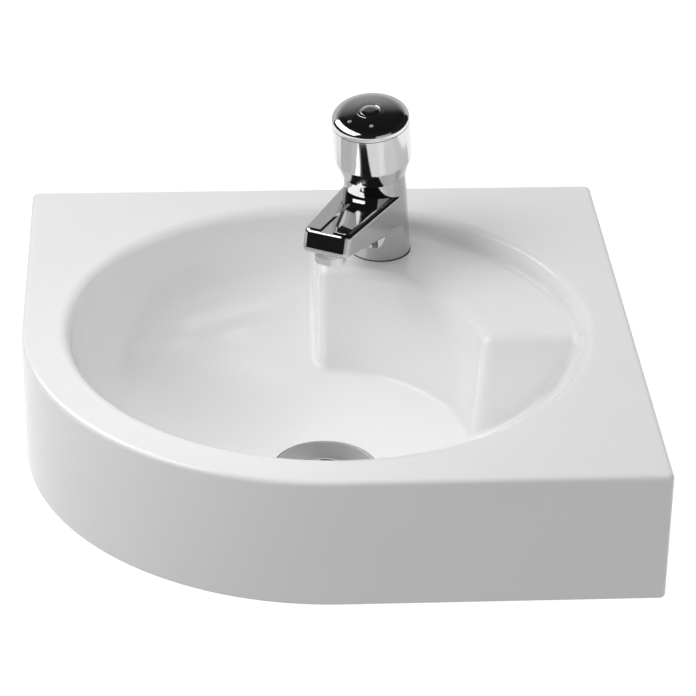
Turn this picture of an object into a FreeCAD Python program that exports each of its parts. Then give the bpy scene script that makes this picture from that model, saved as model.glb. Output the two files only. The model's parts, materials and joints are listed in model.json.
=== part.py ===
import FreeCAD, Part
import Sketcher
import math
import os
import re

# Corner basin with a leaning press-knob mixer tap and an open strainer waste.
# Millimetres. +Z is up, the origin is the wall corner at the level of the deck,
# and the basin lies towards -X and -Y from it.
#
# Every size that can be set by itself. The pieces are bound to these values.
SIZES = {
    # ceramic: plan and skirt
    "rim_width": 35.0,          # deck between the bowl and the outline
    "skirt_height": 100.0,
    "skirt_wall": 13.0,
    "deck_thick": 14.0,
    "corner_round": 5.0,        # upright edges
    "edge_round": 4.0,          # edge between deck and skirt
    "foot_round": 2.5,          # lower edge of the skirt
    # ceramic: bowl
    "bowl_radius": 190.0,
    "bowl_depth": 130.0,
    "bowl_side_arc": 100.0,     # radius of the upper part of the bowl's profile
    "bowl_wall": 12.0,
    "rim_round": 9.0,           # edge between deck and bowl
    # ceramic: tap ledge in the wall quadrant
    "ledge_depth": 16.5,        # ledge below the deck
    "ledge_thick": 14.0,
    "ledge_draft": 4.0,         # degrees from upright
    "ledge_edge": 8.0,
    "ledge_foot": 6.5,
    # ceramic: wall fixings
    "fixing_offset": 200.0,     # from the wall corner
    "fixing_drop": 62.0,        # below the deck
    "fixing_radius": 7.0,
    # ceramic: waste outlet
    "seat_radius": 40.5,
    "seat_depth": 1.5,          # seat below the lowest point of the bowl
    "outlet_radius": 23.5,
    "boss_radius": 38.0,
    "boss_drop": 18.0,          # underside of the boss below the lowest point of the bowl
    # tap: place on the ledge
    "tap_clear": 0.3,           # free ledge between the seal and the rounded foot of the wall
    "washer_room": 5.5,         # free ledge between the washer and the ledge's inner wall
    "tap_angle": 71.8,          # from the +X direction
    "spout_turn": 242.5,        # direction in which the spout points
    "lean": 11.0,               # column leans towards the spout
    "tap_hole_radius": 17.5,
    "knockout_depth": 10.0,     # blind second tap hole, from below
    # tap: body
    "seal_thick": 1.2,
    "seal_overhang": 0.4,
    "base_radius": 23.8,
    "neck_radius": 24.4,
    "column_length": 85.5,
    "spout_root": 11.0,         # start of the spout, forward of the base centre
    "spout_reach": 109.0,
    "spout_root_half": 24.2,
    "spout_nose_half": 18.8,
    "spout_root_low": 27.3,
    "spout_nose_low": 43.2,
    "spout_root_high": 59.6,
    "spout_nose_high": 61.5,
    "nose_tilt": 15.0,          # degrees by which the nose leans back towards its top
    "nose_round": 7.0,
    "spout_round": 4.0,
    "channel_depth": 1.6,
    "channel_start": 44.0,
    "channel_half": 7.5,
    "channel_bevel": 3.0,
    # tap: waterways
    "chamber_radius": 17.5,
    "chamber_floor": 30.0,
    "inlet_radius": 4.5,        # bore of an M10 x 1 hose thread
    "inlet_depth": 12.0,
    "inlet_half_pitch": 7.0,
    "feed_radius": 3.0,
    "waterway_radius": 6.0,
    "waterway_level": 48.0,
    # tap: outlet
    "outlet_inset": 14.0,       # outlet's axis behind the nose
    "outlet_boss_radius": 12.2,
    "outlet_level": 39.8,       # underside of the outlet boss above the ledge
    "socket_radius": 10.6,
    "socket_depth": 9.5,
    "aerator_radius": 11.7,
    "aerator_drop": 5.8,
    "aerator_bore": 8.8,
    "aerator_flats": 21.0,
    "aerator_lip": 1.0,
    "aerator_seal_thick": 1.5,
    "jet_radius": 1.2,
    # tap: fixing below the ledge
    "shank_radius": 16.5,
    "shank_bore": 13.0,
    "shank_seat": 8.0,          # length screwed into the body
    "shank_length": 38.0,       # below the ledge's top
    "washer_radius": 24.5,
    "rubber_thick": 3.0,
    "plate_thick": 2.0,
    "nut_flats": 41.0,
    "nut_thick": 9.0,
    # tap: cartridge, spindle and spring
    "ring_nut_height": 7.0,
    "groove_depth": 1.2,
    "groove_width": 2.4,
    "mixer_radius": 8.0,
    "mixer_rise": 9.0,
    "mixer_foot": 2.0,
    "spring_seat_radius": 13.0,
    "spring_seat_rise": 5.0,
    "spring_seat_thick": 2.0,
    "stem_radius": 5.0,
    "stem_flats": 8.4,
    "stem_engagement": 5.0,     # length inside the cartridge at rest
    "press_travel": 5.5,
    "spring_radius": 10.6,
    "wire_half": 0.8,
    "spring_turns": 5.0,
    # tap: knob
    "knob_overlap": 8.5,        # length of column inside the knob at rest
    "knob_rim_radius": 25.4,
    "knob_rim_wall": 0.6,
    "knob_flare": 13.5,
    "knob_radius": 30.0,
    "knob_wall": 1.8,
    "knob_side": 31.3,
    "knob_web_drop": 9.0,       # top of the web below the sleeve's top edge
    "knob_web_thick": 3.0,
    "hub_radius": 8.5,
    "hub_length": 8.0,
    "knob_corner": 1.5,         # round between the flare and the cylinder
    "cap_height": 9.7,
    "cap_round": 6.2,
    "cap_wall": 2.4,
    "cap_spigot": 4.0,
    "cap_joint": 0.3,
    "plug_radius": 10.4,
    "plug_thick": 1.6,
    "mark_radius": 1.3,
    "mark_depth": 1.2,
    "mark_proud": 0.3,
    "mark_circle": 18.0,
    "mark_angle": 30.0,
    # screws
    "knob_screw_radius": 2.5,
    "knob_screw_head": 4.4,
    "knob_screw_head_height": 3.2,
    "knob_screw_length": 12.0,
    "waste_screw_radius": 3.0,
    "waste_screw_head": 5.5,
    "waste_screw_head_height": 2.0,
    # waste
    "flange_radius": 39.8,
    "flange_edge": 2.6,
    "flange_dish": 2.0,         # fall of the dished top from edge to strainer
    "flange_rise": 1.0,
    "strainer_radius": 19.5,
    "strainer_thick": 2.5,
    "slot_outer": 17.5,
    "slot_inner": 7.5,
    "slot_angle": 66.0,
    "slot_turn": 35.0,
    "throat_wall": 1.4,
    "throat_length": 9.0,
    "top_seal_thick": 1.5,
    "gasket_thick": 3.0,
    "gasket_radius": 32.0,
    "cup_radius": 33.0,
    "cup_thick": 3.5,
    "spigot_wall": 1.9,
    "spigot_rise": 10.0,
    "tail_radius": 20.95,       # outside of a G 1 1/4 thread
    "tail_bore": 17.5,
    "tail_length": 46.0,
    "web_thick": 3.0,
    "web_height": 9.0,
    "screw_boss_radius": 6.0,
    # clearances
    "fit": 0.05,                # running fit, on the radius
    "gap": 0.3,                 # free gap, on the radius
    "slip": 0.1,                # pieces that are pushed together
}

# Places that several pieces share, as formulas of the sizes.
CORNER_RADIUS = "(bowl_radius + rim_width)"
SIDE = "(2 * (bowl_radius + rim_width))"
BOWL_CENTRE = "(-bowl_radius - rim_width)"
TAP_INSET = "(ledge_foot + tap_clear + seal_overhang + base_radius)"
TAP_RADIUS = f"(bowl_radius - {TAP_INSET})"
LEDGE_RADIUS = f"({TAP_RADIUS} - washer_radius - washer_room - bowl_wall)"
TAP_X = f"({BOWL_CENTRE} + {TAP_RADIUS} * cos(tap_angle))"
TAP_Y = f"({BOWL_CENTRE} + {TAP_RADIUS} * sin(tap_angle))"
TAP_Z = "(-ledge_depth)"
LEDGE_UNDER = "(-ledge_depth - ledge_thick)"
SEAT_LEVEL = "(-bowl_depth - seat_depth)"
BOSS_LEVEL = "(-bowl_depth - boss_drop)"
FLANGE_UNDER = "(-bowl_depth - seat_depth + top_seal_thick)"
STRAINER_TOP = "(-bowl_depth - seat_depth + top_seal_thick + flange_edge - flange_dish)"
GASKET_UNDER = "(-bowl_depth - boss_drop - gasket_thick)"
CARTRIDGE_TOP = "(column_length - ring_nut_height)"
SPRING_SEAT = "(column_length + spring_seat_rise)"
KNOB_RIM = "(column_length - knob_overlap)"
FLARE_TOP = "(column_length - knob_overlap + knob_flare)"
SLEEVE_TOP = f"({FLARE_TOP} + knob_side)"
WEB_TOP = f"({SLEEVE_TOP} - knob_web_drop)"
WEB_UNDER = f"({WEB_TOP} - knob_web_thick)"
CAP_UNDER = f"({SLEEVE_TOP} + cap_joint)"
CAP_TOP = f"({CAP_UNDER} + cap_height)"
OUTLET_REACH = "(spout_reach - outlet_inset)"
SOCKET_TOP = "(outlet_level + socket_depth)"

document = FreeCAD.newDocument("corner_basin")
sheet = document.addObject("Spreadsheet::Sheet", "sizes")
for row, (alias, number) in enumerate(SIZES.items(), 1):
    sheet.set(f"A{row}", alias)
    sheet.set(f"B{row}", str(number))
    sheet.setAlias(f"B{row}", alias)
document.recompute()

PIECES = []


def bound(formula):
    """Turn a formula in the names of the sizes into an expression of the document."""
    return re.sub(r"[a-z][a-z_0-9]*", lambda m: "sizes." + m[0] if m[0] in SIZES else m[0], formula)


def bind(thing, **formulas):
    """Bind properties of an object to formulas."""
    for name, formula in formulas.items():
        thing.setExpression(name, bound(formula))
    return thing


def place(thing, x="0", y="0", z="0", yaw="0", pitch="0", roll="0"):
    """Bind an object's place and its turn about Z, then Y, then X."""
    where = f"create(<<vector>>; {x}; {y}; {z})"
    turn = f"create(<<rotation>>; {yaw}; {pitch}; {roll})"
    thing.setExpression("Placement", bound(f"create(<<placement>>; {where}; {turn})"))
    return thing


def at_tap(thing):
    """Stand an object on the ledge at the tap, its X axis along the spout."""
    return place(thing, TAP_X, TAP_Y, TAP_Z, yaw="spout_turn")


def on_column(thing):
    """Set an object on the leaning axis of the tap's column."""
    return place(thing, TAP_X, TAP_Y, TAP_Z, yaw="spout_turn", pitch="lean")


def at_waste(thing):
    """Set an object on the upright axis of the bowl."""
    return place(thing, BOWL_CENTRE, BOWL_CENTRE)


def piece(thing, name):
    """Name a finished sub-part and keep it for the hand-in."""
    thing.Label = name
    PIECES.append(thing)
    return thing


# ---- solids from primitives -------------------------------------------------

def cylinder(name, radius, height, base="0", x="0", y="0"):
    solid = document.addObject("Part::Cylinder", name)
    bind(solid, Radius=radius, Height=height)
    return place(solid, x, y, base)


def box(name, length, width, height, x="0", y="0", z="0"):
    solid = document.addObject("Part::Box", name)
    bind(solid, Length=length, Width=width, Height=height)
    return place(solid, x, y, z)


def cut(name, base, tool):
    solid = document.addObject("Part::Cut", name)
    solid.Base = base
    solid.Tool = tool
    return solid


def common(name, base, tool):
    solid = document.addObject("Part::Common", name)
    solid.Base = base
    solid.Tool = tool
    return solid


def fuse(name, solids):
    solid = document.addObject("Part::MultiFuse", name)
    solid.Shapes = solids
    solid.Refine = True
    return solid


def ring(name, outer, inner, height, base="0"):
    """A flat ring, such as a washer."""
    outside = cylinder(name + "_outside", outer, height, base)
    hole = cylinder(name + "_hole", inner, height, base)
    return cut(name, outside, hole)


# ---- bodies from sketches ---------------------------------------------------

def body_plane(body, role):
    return next(f for f in body.Origin.OriginFeatures if f.Role == role)


def sketch_on(body, role, name, level="0"):
    """A sketch on one of the body's own planes, raised along that plane's normal."""
    sketch = body.newObject("Sketcher::SketchObject", name)
    sketch.AttachmentSupport = [(body_plane(body, role), "")]
    sketch.MapMode = "FlatFace"
    sketch.setExpression("AttachmentOffset.Base.z", bound(level))
    return sketch


def hold(sketch, corner, end, x, y):
    """Hold one end of a sketch edge at a place given by two formulas."""
    for kind, axis, formula in (("DistanceX", -2, x), ("DistanceY", -1, y)):
        if formula == "0":
            sketch.addConstraint(Sketcher.Constraint("PointOnObject", corner, end, axis))
        else:
            start = sketch.getPoint(corner, end)
            where = start.x if kind == "DistanceX" else start.y
            number = sketch.addConstraint(Sketcher.Constraint(kind, -1, 1, corner, end, where))
            sketch.setExpression(f"Constraints[{number}]", bound(formula))


def polygon(body, role, name, corners, level="0"):
    """A closed outline whose corners are pairs of formulas."""
    sketch = sketch_on(body, role, name, level)
    count = len(corners)
    turns = [2 * math.pi * i / count for i in range(count)]
    starts = [FreeCAD.Vector(20 + 10 * math.cos(t), 20 + 10 * math.sin(t), 0) for t in turns]
    for i in range(count):
        sketch.addGeometry(Part.LineSegment(starts[i], starts[(i + 1) % count]), False)
    for i in range(count):
        sketch.addConstraint(Sketcher.Constraint("Coincident", i, 2, (i + 1) % count, 1))
    for i, (x, y) in enumerate(corners):
        hold(sketch, i, 1, x, y)
    return sketch


def revolution(body, sketch, kind="PartDesign::Revolution", angle=360):
    feature = body.newObject(kind, sketch.Name + "_turn")
    feature.Profile = sketch
    feature.ReferenceAxis = (sketch, ["V_Axis"])
    feature.Angle = angle
    document.recompute()
    return feature


def turned(name, corners):
    """A turned piece from its half profile, as pairs of radius and level."""
    body = document.addObject("PartDesign::Body", name + "_body")
    revolution(body, polygon(body, "XZ_Plane", name + "_profile", corners))
    return body


def edges_where(shape, test):
    """Names of the edges whose middle point passes a test."""
    names = []
    for number, edge in enumerate(shape.Edges, 1):
        if edge.Length > 1e-6 and test(edge.valueAt((edge.FirstParameter + edge.LastParameter) / 2), edge):
            names.append(f"Edge{number}")
    return names


def rounded(body, radius, test, name):
    """Round the edges of a body's tip that pass a test."""
    tip = body.Tip
    feature = body.newObject("PartDesign::Fillet", name)
    feature.Base = (tip, edges_where(tip.Shape, test))
    bind(feature, Radius=radius)
    document.recompute()
    return feature


def near(first, second, reach=0.05):
    return abs(first - second) < reach


# ---- ceramic ----------------------------------------------------------------

def basin_outline(body, name, inset, level):
    """The plan: a square whose front corner is a quarter circle round the bowl."""
    middle = -SIZES["bowl_radius"] - SIZES["rim_width"]
    wall = -SIZES.get(inset, 0)
    near_side, far_side = wall, 2 * middle - wall
    corners = [(near_side, near_side), (far_side, near_side), (far_side, middle), (middle, far_side),
               (near_side, far_side)]
    points = [FreeCAD.Vector(x, y, 0) for x, y in corners]
    sketch = sketch_on(body, "XY_Plane", name, level)
    sketch.addGeometry(Part.LineSegment(points[0], points[1]), False)
    sketch.addGeometry(Part.LineSegment(points[1], points[2]), False)
    circle = Part.Circle(FreeCAD.Vector(middle, middle, 0), FreeCAD.Vector(0, 0, 1), middle - far_side)
    sketch.addGeometry(Part.ArcOfCircle(circle, math.pi, 1.5 * math.pi), False)
    sketch.addGeometry(Part.LineSegment(points[3], points[4]), False)
    sketch.addGeometry(Part.LineSegment(points[4], points[0]), False)
    far = f"({inset} - {SIDE})"
    wall = f"(-{inset})"
    for i in range(5):
        sketch.addConstraint(Sketcher.Constraint("Coincident", i, 2, (i + 1) % 5, 1))
    hold(sketch, 2, 3, BOWL_CENTRE, BOWL_CENTRE)
    hold(sketch, 0, 1, wall, wall)
    hold(sketch, 0, 2, far, wall)
    hold(sketch, 1, 2, far, BOWL_CENTRE)
    for edge, end, formula in ((3, 1, BOWL_CENTRE), (4, 1, wall)):
        start = sketch.getPoint(edge, end).x
        number = sketch.addConstraint(Sketcher.Constraint("DistanceX", -1, 1, edge, end, start))
        sketch.setExpression(f"Constraints[{number}]", bound(formula))
    sketch.addConstraint(Sketcher.Constraint("Horizontal", 3))
    return sketch


def ceramic_blank():
    """Deck and skirt: the outline as a block, hollow from below."""
    body = document.addObject("PartDesign::Body", "blank")
    pad = body.newObject("PartDesign::Pad", "blank_pad")
    pad.Profile = basin_outline(body, "outline", "0", "0")
    pad.Reversed = True
    bind(pad, Length="skirt_height")
    document.recompute()

    pocket = body.newObject("PartDesign::Pocket", "blank_hollow")
    pocket.Profile = basin_outline(body, "hollow_outline", "skirt_wall", "-skirt_height")
    pocket.Reversed = True
    bind(pocket, Length="skirt_height - deck_thick")
    document.recompute()

    side, foot = 2 * (SIZES["bowl_radius"] + SIZES["rim_width"]), -SIZES["skirt_height"]
    wall = SIZES["skirt_wall"]
    corners = [(0, 0), (-side, 0), (0, -side)]
    rounded(body, "corner_round", lambda p, e: any(near(p.x, x) and near(p.y, y) for x, y in corners),
            "upright_edges")
    rounded(body, "edge_round", lambda p, e: near(e.BoundBox.ZMin, 0) and near(e.BoundBox.ZMax, 0),
            "deck_edges")

    def outer_foot(p, e):
        """Lower edges of the outside. The edges of the hollow lie one wall further in."""
        inside = (-wall - 1 > p.x > wall + 1 - side) and (-wall - 1 > p.y > wall + 1 - side)
        radius = math.hypot(p.x + side / 2, p.y + side / 2)
        hollow = near(p.x, -wall) or near(p.y, -wall) or near(p.x, wall - side) or near(p.y, wall - side)
        return near(e.BoundBox.ZMin, foot) and near(e.BoundBox.ZMax, foot) and not hollow \
            and (not inside or radius > side / 2 - wall / 2)

    rounded(body, "foot_round", outer_foot, "foot_edges")
    return body


def bowl_profile(body, name, growth):
    """Half profile of the bowl, a floor arc that runs smoothly into a tighter side arc.

    It is drawn on the -X side, so that the seam of the turned surface stays clear of the ledge.
    """
    thick = SIZES.get(growth, 0)
    width = SIZES["bowl_radius"] + thick
    depth = SIZES["bowl_depth"] + thick
    small = SIZES["bowl_side_arc"] + thick
    large = ((width - small) ** 2 + depth ** 2 - small ** 2) / (2 * (depth - small))
    reach = math.hypot(width - small, large - depth)
    join = FreeCAD.Vector(-(width - small) / reach * large, (large - depth) * (1 - large / reach), 0)
    start = math.atan2(join.y, join.x + width - small)
    sketch = sketch_on(body, "XZ_Plane", name)
    up = FreeCAD.Vector(0, 0, 1)
    floor = Part.Circle(FreeCAD.Vector(0, large - depth, 0), up, large)
    side = Part.Circle(FreeCAD.Vector(small - width, 0, 0), up, small)
    turn = math.atan2(join.y - (large - depth), join.x)
    sketch.addGeometry(Part.ArcOfCircle(floor, turn, -math.pi / 2), False)
    sketch.addGeometry(Part.ArcOfCircle(side, math.pi, start + 2 * math.pi), False)
    centre = FreeCAD.Vector(0, 0, 0)
    sketch.addGeometry(Part.LineSegment(FreeCAD.Vector(-width, 0, 0), centre), False)
    sketch.addGeometry(Part.LineSegment(centre, FreeCAD.Vector(0, -depth, 0)), False)
    for first, end, second, start_end in ((1, 1, 2, 1), (2, 2, 3, 1), (3, 2, 0, 2)):
        sketch.addConstraint(Sketcher.Constraint("Coincident", first, end, second, start_end))
    sketch.addConstraint(Sketcher.Constraint("Tangent", 0, 1, 1, 2))
    sketch.addConstraint(Sketcher.Constraint("PointOnObject", 0, 3, -2))
    sketch.addConstraint(Sketcher.Constraint("PointOnObject", 1, 3, -1))
    sketch.addConstraint(Sketcher.Constraint("Coincident", 3, 1, -1, 1))
    number = sketch.addConstraint(Sketcher.Constraint("Radius", 1, small))
    sketch.setExpression(f"Constraints[{number}]", bound(f"bowl_side_arc + {growth}"))
    hold(sketch, 0, 2, "0", f"(-bowl_depth - {growth})")
    hold(sketch, 1, 1, f"(-bowl_radius - {growth})", "0")
    return sketch


def bowl_shell():
    """Outside of the bowl below the deck, with the flat boss round the outlet."""
    body = document.addObject("PartDesign::Body", "shell")
    revolution(body, bowl_profile(body, "shell_profile", "bowl_wall"))
    boss_height = "(boss_drop - bowl_wall / 2)"
    boss = cylinder("outlet_boss", "boss_radius", boss_height, BOSS_LEVEL)
    return fuse("shell_and_boss", [body, boss])


def ledge_edge_radius():
    """Distance of the ledge's inner edge from the bowl's centre, as LEDGE_RADIUS gives it."""
    taken = ("ledge_foot", "tap_clear", "seal_overhang", "base_radius", "washer_radius", "washer_room",
             "bowl_wall")
    return SIZES["bowl_radius"] - sum(SIZES[name] for name in taken)


def bowl_cavity():
    """The room inside the bowl. The wall quadrant keeps the raised ledge for the tap."""
    body = document.addObject("PartDesign::Body", "cavity")
    revolution(body, bowl_profile(body, "cavity_profile", "0"))
    foot = "(-ledge_depth - bowl_depth)"
    corners = [
        (LEDGE_RADIUS, "-ledge_depth"),
        (f"({LEDGE_RADIUS} - bowl_depth * tan(ledge_draft))", foot),
        ("(bowl_radius + bowl_wall)", foot),
        ("(bowl_radius + bowl_wall)", "-ledge_depth"),
    ]
    ledge = polygon(body, "XZ_Plane", "ledge_profile", corners)
    revolution(body, ledge, "PartDesign::Groove", 90)

    depth = -SIZES["ledge_depth"]
    edge = ledge_edge_radius()
    draft = math.tan(math.radians(SIZES["ledge_draft"]))

    def on_end_wall(p):
        return (near(p.x, 0) and p.y > 0) or (near(p.y, 0) and p.x > 0)

    def convex(p, e):
        radius = math.hypot(p.x, p.y)
        on_top = near(p.z, depth) and (near(radius, edge) or on_end_wall(p))
        upright = on_end_wall(p) and near(radius, edge - draft * (depth - p.z)) and p.z < depth - 1
        return on_top or upright

    rounded(body, "ledge_edge", convex, "ledge_edges")

    def concave(p, e):
        """The foot of the ledge. Its edges run smoothly into each other, so one names them all."""
        return near(p.z, depth) and near(e.BoundBox.ZMax, depth) and math.hypot(p.x, p.y) > edge + 20 \
            and p.x > 20 and p.y > 20 and e.Length > edge

    rounded(body, "ledge_foot", concave, "ledge_foot_edges")
    return at_waste(body)


def ledge_hollow():
    """The open space below the ledge, between the ledge's inner wall and the wall skirts."""
    width = f"({CORNER_RADIUS} - skirt_wall - bowl_wall)"
    start = f"({BOWL_CENTRE} + bowl_wall)"
    depth = "(bowl_depth + bowl_wall)"
    block = box("hollow_block", width, width, depth, start, start, f"({LEDGE_UNDER} - {depth})")
    core = cylinder("hollow_core", f"({LEDGE_RADIUS} + bowl_wall)", f"(2 * {depth})",
                    f"({LEDGE_UNDER} - 1.5 * {depth})", BOWL_CENTRE, BOWL_CENTRE)
    return cut("under_ledge", block, core)


def fixing_hole(name, roll, pitch, x, y):
    """A bolt hole through one of the two wall skirts."""
    hole = document.addObject("Part::Cylinder", name)
    bind(hole, Radius="fixing_radius", Height="2 * skirt_wall")
    return place(hole, x, y, "-fixing_drop", "0", pitch, roll)


def ceramic_holes():
    """Tap hole, blind second tap hole, outlet and its seat, and the two wall fixings."""
    tap = cylinder("tap_hole", "tap_hole_radius", "3 * ledge_thick", f"({LEDGE_UNDER} - ledge_thick)",
                   TAP_X, TAP_Y)
    # the second tap hole mirrors the first about the diagonal through the wall corner
    blind = cylinder("knockout", "tap_hole_radius", "knockout_depth + ledge_thick",
                     f"({LEDGE_UNDER} - ledge_thick)", TAP_Y, TAP_X)
    seat = cylinder("outlet_seat", "seat_radius", "bowl_depth", SEAT_LEVEL, BOWL_CENTRE, BOWL_CENTRE)
    outlet = cylinder("outlet", "outlet_radius", "bowl_depth", f"({BOSS_LEVEL} - boss_drop)",
                      BOWL_CENTRE, BOWL_CENTRE)
    back = fixing_hole("back_fixing", "90", "0", "-fixing_offset", "skirt_wall / 2")
    right = fixing_hole("right_fixing", "0", "-90", "skirt_wall / 2", "-fixing_offset")
    return fuse("ceramic_openings", [tap, blind, seat, outlet, back, right])


def make_basin():
    stock = fuse("ceramic_stock", [ceramic_blank(), at_waste(bowl_shell())])
    open_ledge = cut("ceramic_under_ledge", stock, ledge_hollow())
    open_bowl = cut("ceramic_bowl", open_ledge, bowl_cavity())
    drilled = cut("ceramic_drilled", open_bowl, ceramic_holes())
    document.recompute()
    body = document.addObject("PartDesign::Body", "basin_body")
    body.BaseFeature = drilled
    document.recompute()
    rim = SIZES["bowl_radius"]
    centre = -rim - SIZES["rim_width"]
    rounded(body, "rim_round",
            lambda p, e: near(p.z, 0) and near(math.hypot(p.x - centre, p.y - centre), rim), "rim_edge")
    piece(body, "basin")


# ---- tap body ---------------------------------------------------------------

def leaning_column():
    """The column, turned on the leaning axis and cut flat where it stands on its seal."""
    column = document.addObject("Part::Cone", "column")
    bind(column, Radius1="base_radius", Radius2="neck_radius", Height="column_length + ledge_depth")
    place(column, "(-ledge_depth * sin(lean))", "0", "(-ledge_depth * cos(lean))", pitch="lean")
    below = box("below_seal", "4 * base_radius", "4 * base_radius", "2 * ledge_depth",
                "-2 * base_radius", "-2 * base_radius", "(seal_thick - 2 * ledge_depth)")
    return cut("column_on_seal", column, below)


def wedge_spout():
    """The spout, a wedge that narrows and rises from the column to the tilted nose."""
    spout = document.addObject("Part::Wedge", "spout")
    bind(spout, Ymin="spout_root", Ymax="spout_reach",
         Xmin="-spout_root_half", Xmax="spout_root_half", Zmin="spout_root_low", Zmax="spout_root_high",
         X2min="-spout_nose_half", X2max="spout_nose_half", Z2min="spout_nose_low",
         Z2max="spout_nose_high")
    front = document.addObject("Part::Box", "beyond_nose")
    bind(front, Length="4 * spout_nose_half", Width="spout_reach", Height="2 * spout_nose_high")
    place(front, "-2 * spout_nose_half", "spout_reach", "spout_nose_low", roll="nose_tilt")
    return cut("spout_tilted", spout, front)


def spout_channel():
    """The shallow channel with bevelled sides along the top of the spout, open at the nose."""
    channel = document.addObject("Part::Wedge", "channel")
    inner = "(channel_half - channel_bevel)"
    bind(channel, Ymin="0 * channel_half", Ymax="2 * channel_depth",
         Xmin="channel_start", Xmax="2 * spout_reach",
         Zmin=f"-{inner}", Zmax=inner,
         X2min="channel_start - 2 * channel_bevel", X2max="2 * spout_reach",
         Z2min="-channel_half", Z2max="channel_half")
    rise = "atan((spout_nose_high - spout_root_high) / (spout_reach - spout_root))"
    return place(channel, "0", "0", "spout_root_high - channel_depth", "0", f"(-{rise})", "90")


def tap_waterways():
    """Cartridge chamber, the two hose sockets with their feeds, the way to the outlet, and
    the room for the outlet's collar."""
    chamber = cylinder("chamber", "chamber_radius", "column_length")
    place(chamber, "(chamber_floor * sin(lean))", "0", "(chamber_floor * cos(lean))", pitch="lean")
    seat = cylinder("shank_recess", "shank_radius + slip", "shank_seat + ledge_depth",
                    "(seal_thick - ledge_depth)")
    voids = [chamber, seat]
    ceiling = "(seal_thick + shank_seat)"
    for side, sign in (("cold", "-"), ("hot", "")):
        across = f"({sign}inlet_half_pitch)"
        voids.append(cylinder(side + "_socket", "inlet_radius", "inlet_depth + shank_seat / 2",
                              f"({ceiling} - shank_seat / 2)", "0", across))
        voids.append(cylinder(side + "_feed", "feed_radius", "chamber_floor + feed_radius - inlet_depth",
                              ceiling, "0", across))
    way = document.addObject("Part::Cylinder", "waterway")
    bind(way, Radius="waterway_radius", Height=f"{OUTLET_REACH} - chamber_radius / 2")
    place(way, "chamber_radius / 2", "0", "waterway_level", pitch="90")
    socket = cylinder("outlet_socket", "socket_radius", "socket_depth + outlet_level",
                      "0", OUTLET_REACH, "0")
    collar_room = cylinder("collar_room", "aerator_radius + gap", "aerator_drop",
                           "(outlet_level - aerator_drop)", OUTLET_REACH, "0")
    return fuse("tap_voids", voids + [way, socket, collar_room])


def make_tap_body():
    boss = cylinder("spout_boss", "outlet_boss_radius", "spout_nose_low + spout_round - outlet_level",
                    "outlet_level", OUTLET_REACH, "0")
    body = document.addObject("PartDesign::Body", "spout_body")
    body.BaseFeature = wedge_spout()
    document.recompute()
    reach, root, low = SIZES["spout_reach"], SIZES["spout_root"], SIZES["spout_nose_low"]
    slope = math.tan(math.radians(SIZES["nose_tilt"]))
    rounded(body, "nose_round", lambda p, e: near(p.y, reach - slope * (p.z - low)) and abs(p.x) > 1,
            "nose_corners")
    rounded(body, "spout_round", lambda p, e: p.y > root + 1 and e.BoundBox.ZLength < 30, "spout_edges")
    shaped = fuse("spout_on_column", [leaning_column(), place(body, yaw="-90"), boss])
    grooved = cut("spout_grooved", shaped, spout_channel())
    piece(at_tap(cut("tap_body_solid", grooved, tap_waterways())), "tap_body")


def make_tap_fixing():
    """Seal under the base, and what holds the tap from below the ledge."""
    hole = "shank_radius + gap"
    piece(at_tap(ring("seal", "base_radius + seal_overhang", hole, "seal_thick")), "tap_base_seal")
    shank = ring("shank", "shank_radius", "shank_bore", "shank_length + seal_thick + shank_seat",
                 "-shank_length")
    piece(at_tap(shank), "fixing_shank")
    level = "(-ledge_thick - rubber_thick)"
    piece(at_tap(ring("rubber", "washer_radius", hole, "rubber_thick", level)), "shank_rubber_washer")
    level = "(-ledge_thick - rubber_thick - plate_thick)"
    piece(at_tap(ring("plate", "washer_radius", hole, "plate_thick", level)), "shank_metal_washer")
    nut = document.addObject("Part::Prism", "nut_blank")
    nut.Polygon = 6
    bind(nut, Circumradius="nut_flats / 2 / cos(30)", Height="nut_thick")
    level = "(-ledge_thick - rubber_thick - plate_thick - nut_thick)"
    place(nut, z=level)
    bore = cylinder("nut_bore", "shank_radius + slip", "nut_thick", level)
    piece(at_tap(cut("nut", nut, bore)), "shank_nut")


def make_aerator():
    """Outlet ring with two flats, the jet insert inside it, and the seal above them."""
    low = "(outlet_level - aerator_drop)"
    seal_low = f"({SOCKET_TOP} - aerator_seal_thick)"
    collar = cylinder("collar", "aerator_radius", "aerator_drop", low)
    across = box("flats", "aerator_flats", "3 * aerator_radius", "2 * aerator_drop",
                 "-aerator_flats / 2", "-1.5 * aerator_radius", low)
    thread = cylinder("thread", "socket_radius - slip", "socket_depth - aerator_seal_thick", "outlet_level")
    outside = fuse("aerator_outside", [common("collar_flats", collar, across), thread])
    bore = cylinder("aerator_room", "aerator_bore", "aerator_drop + socket_depth", f"({low} + aerator_lip)")
    mouth = cylinder("aerator_mouth", "aerator_bore - aerator_lip", "2 * aerator_lip", f"({low} - aerator_lip)")
    holes = fuse("aerator_holes", [bore, mouth])
    place_outlet(cut("aerator_ring", outside, holes), "aerator_housing")

    height = "(aerator_drop + socket_depth - aerator_seal_thick - aerator_lip)"
    insert = cylinder("insert", "aerator_bore - slip", height, f"({low} + aerator_lip)")
    jets = []
    for count, circle in ((1, "0"), (6, "aerator_bore / 2")):
        for i in range(count):
            turn = 360 * i / count
            jets.append(cylinder(f"jet_{count}_{i}", "jet_radius", "2 * " + height, low,
                                 f"({circle}) * cos({turn})", f"({circle}) * sin({turn})"))
    place_outlet(cut("insert_jets", insert, fuse("jets", jets)), "aerator_insert")
    seal = ring("outlet_seal", "socket_radius - slip", "aerator_bore - aerator_lip", "aerator_seal_thick",
                seal_low)
    place_outlet(seal, "aerator_seal")


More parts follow.
